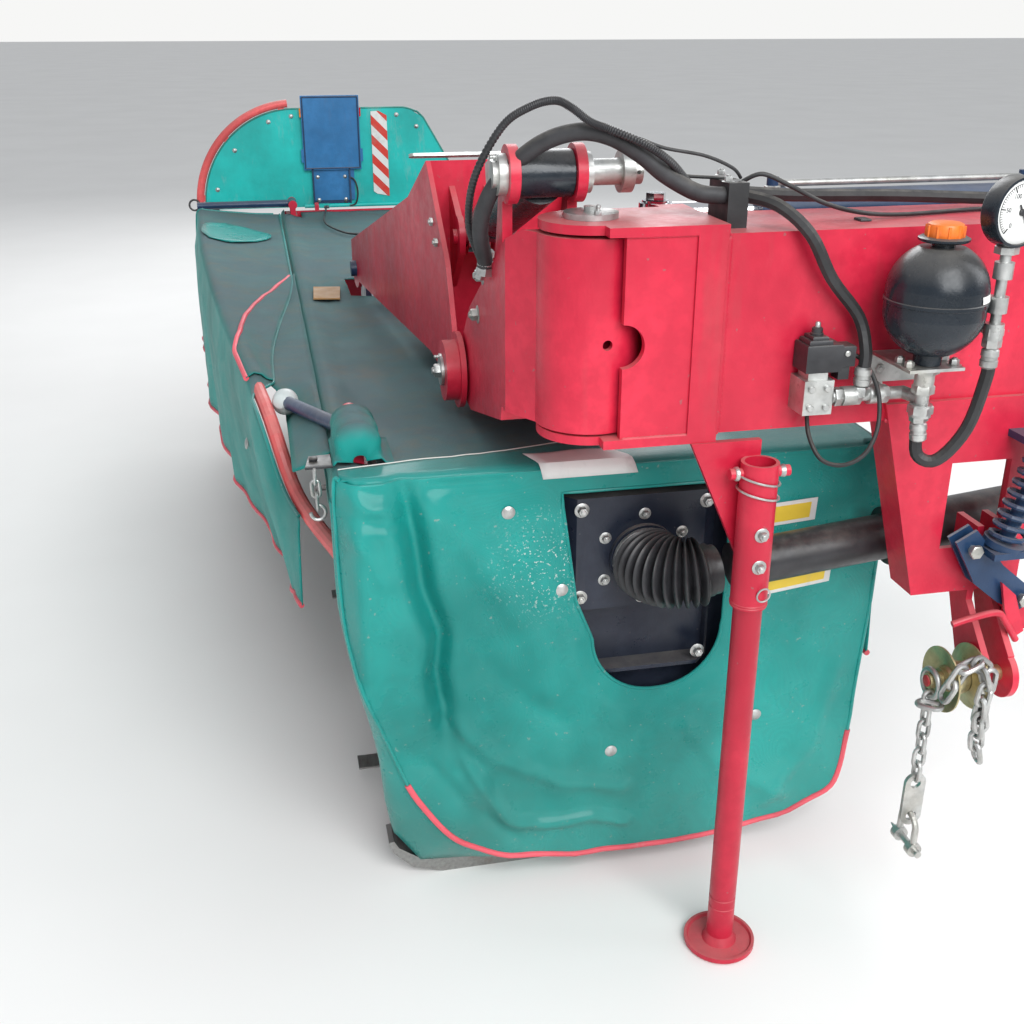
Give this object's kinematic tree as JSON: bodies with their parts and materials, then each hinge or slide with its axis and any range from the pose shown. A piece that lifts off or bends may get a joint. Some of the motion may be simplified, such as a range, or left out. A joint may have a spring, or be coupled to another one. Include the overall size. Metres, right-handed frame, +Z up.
{
  "type": "disc mower conditioner",
  "caption": "Rear-mounted disc mower conditioner folded back for transport: headstock beam, swing arm, carrier and canvas-covered cutting unit with raised end guard",
  "frame": {"origin": "middle of the bounding box's footprint, on the floor", "axes": "+X along the main beam from the fold pivot to the headstock, +Y from the headstock back along the folded mowing unit, +Z up"},
  "size_m": [2.3146, 3.534, 1.54],
  "materials": {
    "red_paint": "semi-gloss, dusty",
    "navy_paint": "semi-gloss",
    "salmon_paint": "faded semi-gloss",
    "zinc": "zinc plated, dulled",
    "chrome_rod": "polished",
    "grey_casting": "painted grey",
    "black_paint": "gloss",
    "hose_rubber": "matte",
    "black_plastic": "satin",
    "canvas": "coated weave, dusty",
    "bare_steel": "worn",
    "green_plastic": "satin",
    "blue_panel": "satin",
    "striped_panel": "reflective"
  },
  "bodies": {
    "headstock": {"main_beam": "red_paint", "fold_pin": "zinc", "headstock_frame": "red_paint", "lower_link_pins": "zinc", "drive_gearbox": "grey_casting", "input_shaft": "zinc", "relief_spring": "navy_paint", "check_chain": "zinc", "accumulator": "black_paint", "accumulator_bracket": "zinc", "pressure_gauge": "grey_casting", "valve_block": "zinc", "hydraulic_fittings": "zinc", "beam_hoses": "hose_rubber", "stand_sleeve": "red_paint", "fold_barrel": "navy_paint"},
    "stand": {"stand_leg": "red_paint"},
    "fold_ram": {"fold_rod": "chrome_rod"},
    "arm": {"swing_arm": "red_paint", "lift_head_pin": "zinc", "arm_hoses": "hose_rubber"},
    "lift_cylinder": {"lift_barrel": "black_paint", "shut_off_valve": "zinc"},
    "lift_ram": {"lift_rod": "chrome_rod"},
    "carrier": {"carrier_frame": "red_paint", "lift_pin": "zinc"},
    "mower": {"float_bracket": "navy_paint", "cutter_bar": "grey_casting", "skids": "bare_steel", "unit_frame": "red_paint", "conditioner_hood": "bare_steel", "hood_canvas": "canvas", "inner_canvas": "canvas", "gearbox_guard": "navy_paint", "drive_bellows": "hose_rubber"},
    "yoke": {"drive_yoke": "black_plastic"},
    "front_guard": {"front_guard_tube": "salmon_paint", "front_strut": "navy_paint", "front_curtain": "canvas"},
    "outer_guard": {"guard_board": "green_plastic", "guard_hoop": "salmon_paint", "light_board": "blue_panel", "hazard_board": "striped_panel"},
    "rotor": {"conditioner_rotor": "bare_steel"},
    "shaft_tube": {"shaft_outer": "black_plastic"},
    "shaft_rod": {"shaft_inner": "black_plastic"},
    "cutter_1": {"disc_1": "bare_steel"},
    "cutter_2": {"disc_2": "bare_steel"},
    "cutter_3": {"disc_3": "bare_steel"},
    "cutter_4": {"disc_4": "bare_steel"},
    "cutter_5": {"disc_5": "bare_steel"},
    "cutter_6": {"disc_6": "bare_steel"},
    "cutter_7": {"disc_7": "bare_steel"}
  },
  "joints": [
    {"name": "fold", "type": "hinge", "parent": "headstock", "child": "arm", "pos_m": [-0.42325, -1.497, 1.15], "axis": [0, 0, 1], "range_deg": [0, 90]},
    {"name": "lift", "type": "hinge", "parent": "arm", "child": "carrier", "pos_m": [-0.42325, -1.032, 0.963], "axis": [1, 0, 0], "range_deg": [-2, 25]},
    {"name": "float", "type": "hinge", "parent": "carrier", "child": "mower", "pos_m": [-0.42325, 0.188, 0.93], "axis": [1, 0, 0], "range_deg": [0, 6]},
    {"name": "stand_slide", "type": "slide", "parent": "headstock", "child": "stand", "axis": [0, 0, 1], "range_m": [0, 0.35]},
    {"name": "outer_guard_fold", "type": "hinge", "parent": "mower", "child": "outer_guard", "pos_m": [-0.42325, 1.73, 0.888], "axis": [-1, 0, 0], "range_deg": [0, 90]},
    {"name": "front_guard_fold", "type": "hinge", "parent": "mower", "child": "front_guard", "pos_m": [-0.77525, 0.188, 0.914], "axis": [0, 1, 0], "range_deg": [0, 100]},
    {"name": "lift_cylinder_turn", "type": "hinge", "parent": "arm", "child": "lift_cylinder", "pos_m": [-0.48125, -1.432, 1.38], "axis": [1, 0, 0], "range_deg": [-1, 3]},
    {"name": "lift_cylinder_stroke", "type": "slide", "parent": "lift_cylinder", "child": "lift_ram", "axis": [0, 0.9495, -0.3137], "range_m": [-0.125, 0.015]},
    {"name": "fold_cylinder_stroke", "type": "slide", "parent": "headstock", "child": "fold_ram", "axis": [-1, 0, 0], "range_m": [0, 0.31]},
    {"name": "yoke_turn", "type": "hinge", "parent": "mower", "child": "yoke", "pos_m": [-0.27325, -1.477, 0.69], "axis": [0, 0, 1], "range_deg": [-100, 0], "deforming": ["drive_bellows"]},
    {"name": "shaft_swing", "type": "hinge", "parent": "headstock", "child": "shaft_tube", "pos_m": [0.53675, -1.447, 0.76], "axis": [0, 0, 1], "range_deg": [-9, 0]},
    {"name": "shaft_slide", "type": "slide", "parent": "shaft_tube", "child": "shaft_rod", "axis": [-0.9956, -0.0369, -0.086], "range_m": [0, 0.18]},
    {"name": "disc_1_spin", "type": "hinge", "parent": "mower", "child": "cutter_1", "pos_m": [-0.55325, -1.057, 0.098], "axis": [0, 0, 1], "continuous": true},
    {"name": "disc_2_spin", "type": "hinge", "parent": "mower", "child": "cutter_2", "pos_m": [-0.55325, -0.642, 0.098], "axis": [0, 0, 1], "continuous": true},
    {"name": "disc_3_spin", "type": "hinge", "parent": "mower", "child": "cutter_3", "pos_m": [-0.55325, -0.227, 0.098], "axis": [0, 0, 1], "continuous": true},
    {"name": "disc_4_spin", "type": "hinge", "parent": "mower", "child": "cutter_4", "pos_m": [-0.55325, 0.188, 0.098], "axis": [0, 0, 1], "continuous": true},
    {"name": "disc_5_spin", "type": "hinge", "parent": "mower", "child": "cutter_5", "pos_m": [-0.55325, 0.603, 0.098], "axis": [0, 0, 1], "continuous": true},
    {"name": "disc_6_spin", "type": "hinge", "parent": "mower", "child": "cutter_6", "pos_m": [-0.55325, 1.018, 0.098], "axis": [0, 0, 1], "continuous": true},
    {"name": "disc_7_spin", "type": "hinge", "parent": "mower", "child": "cutter_7", "pos_m": [-0.55325, 1.433, 0.098], "axis": [0, 0, 1], "continuous": true},
    {"name": "rotor_spin", "type": "hinge", "parent": "mower", "child": "rotor", "pos_m": [-0.09325, 0.188, 0.33], "axis": [0, 1, 0], "continuous": true}
  ],
  "couplings": [
    {"joint": "lift_cylinder_turn", "follows": "lift", "ratio": 0.09},
    {"joint": "lift_cylinder_stroke", "follows": "lift", "m_per_rad": -0.28},
    {"joint": "fold_cylinder_stroke", "follows": "fold", "m_per_rad": 0.19608},
    {"joint": "yoke_turn", "follows": "fold", "ratio": -1.0883},
    {"joint": "shaft_swing", "follows": "fold", "ratio": -0.0883},
    {"joint": "shaft_slide", "follows": "fold", "m_per_rad": 0.1108},
    {"joint": "disc_2_spin", "follows": "disc_1_spin", "ratio": -1},
    {"joint": "disc_3_spin", "follows": "disc_1_spin", "ratio": 1},
    {"joint": "disc_4_spin", "follows": "disc_1_spin", "ratio": -1},
    {"joint": "disc_5_spin", "follows": "disc_1_spin", "ratio": 1},
    {"joint": "disc_6_spin", "follows": "disc_1_spin", "ratio": -1},
    {"joint": "disc_7_spin", "follows": "disc_1_spin", "ratio": 1},
    {"joint": "rotor_spin", "follows": "disc_1_spin", "ratio": 0.3}
  ]
}
